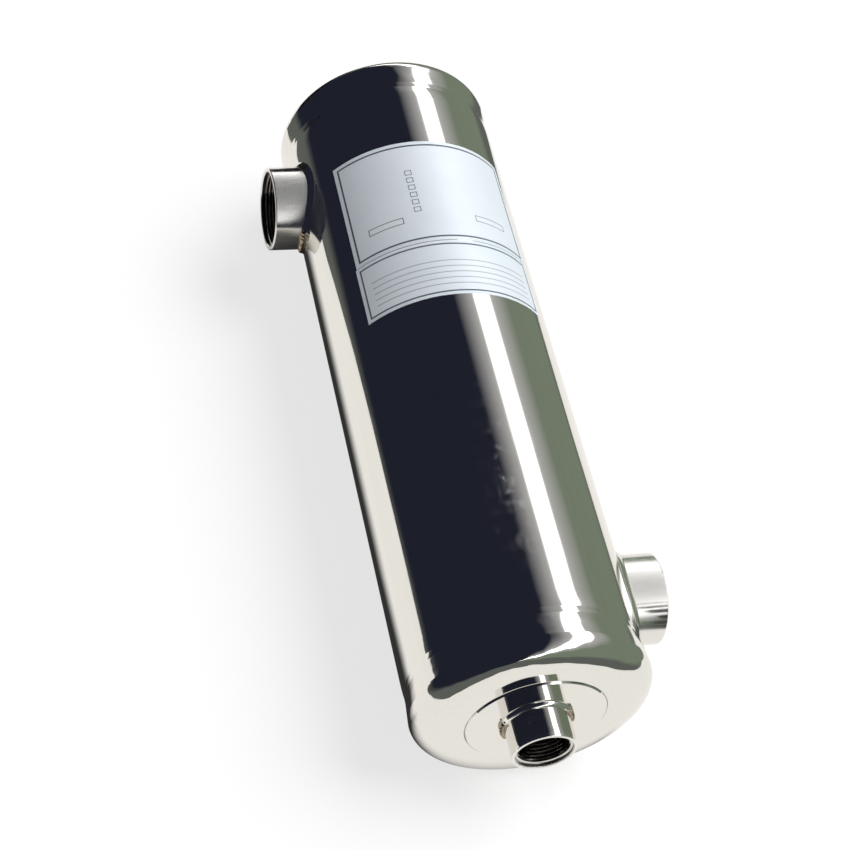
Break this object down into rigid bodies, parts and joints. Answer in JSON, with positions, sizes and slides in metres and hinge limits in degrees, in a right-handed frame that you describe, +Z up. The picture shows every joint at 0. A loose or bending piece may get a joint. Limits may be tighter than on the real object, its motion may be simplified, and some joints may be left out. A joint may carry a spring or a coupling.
{
  "type": "shell and tube heat exchanger",
  "caption": "Polished steel shell and tube heat exchanger: a tube with drawn end caps, a threaded coupling in each cap and two larger ones on opposite sides.",
  "frame": {"origin": "centre of the near end coupling's mouth, on the shell's axis", "axes": "+Y along the shell from the near end to the far end, +X out of the near end's side coupling, +Z up with the exchanger lying level"},
  "size_m": [0.179, 0.5074, 0.1412],
  "materials": {
    "shell_steel": "mirror polished",
    "coupling_steel": "turned and polished",
    "weld_steel": "pickled weld",
    "bundle_steel": "satin"
  },
  "bodies": {
    "root": {"shell_tube": "shell_steel", "near_end_cap": "shell_steel", "far_end_cap": "shell_steel", "near_girth_weld": "shell_steel", "far_girth_weld": "shell_steel", "near_end_coupling": "coupling_steel", "far_end_coupling": "coupling_steel", "near_side_coupling": "coupling_steel", "far_side_coupling": "coupling_steel", "near_end_weld_bead": "weld_steel", "far_end_weld_bead": "weld_steel", "near_side_weld_bead": "weld_steel", "far_side_weld_bead": "weld_steel", "near_tube_sheet": "bundle_steel", "far_tube_sheet": "bundle_steel", "tube_row_1": "bundle_steel", "tube_row_2": "bundle_steel", "tube_row_3": "bundle_steel", "tube_row_4": "bundle_steel", "tube_row_5": "bundle_steel", "tie_rods": "bundle_steel", "baffle_1": "bundle_steel", "baffle_2": "bundle_steel", "baffle_3": "bundle_steel", "baffle_4": "bundle_steel"}
  },
  "joints": []
}
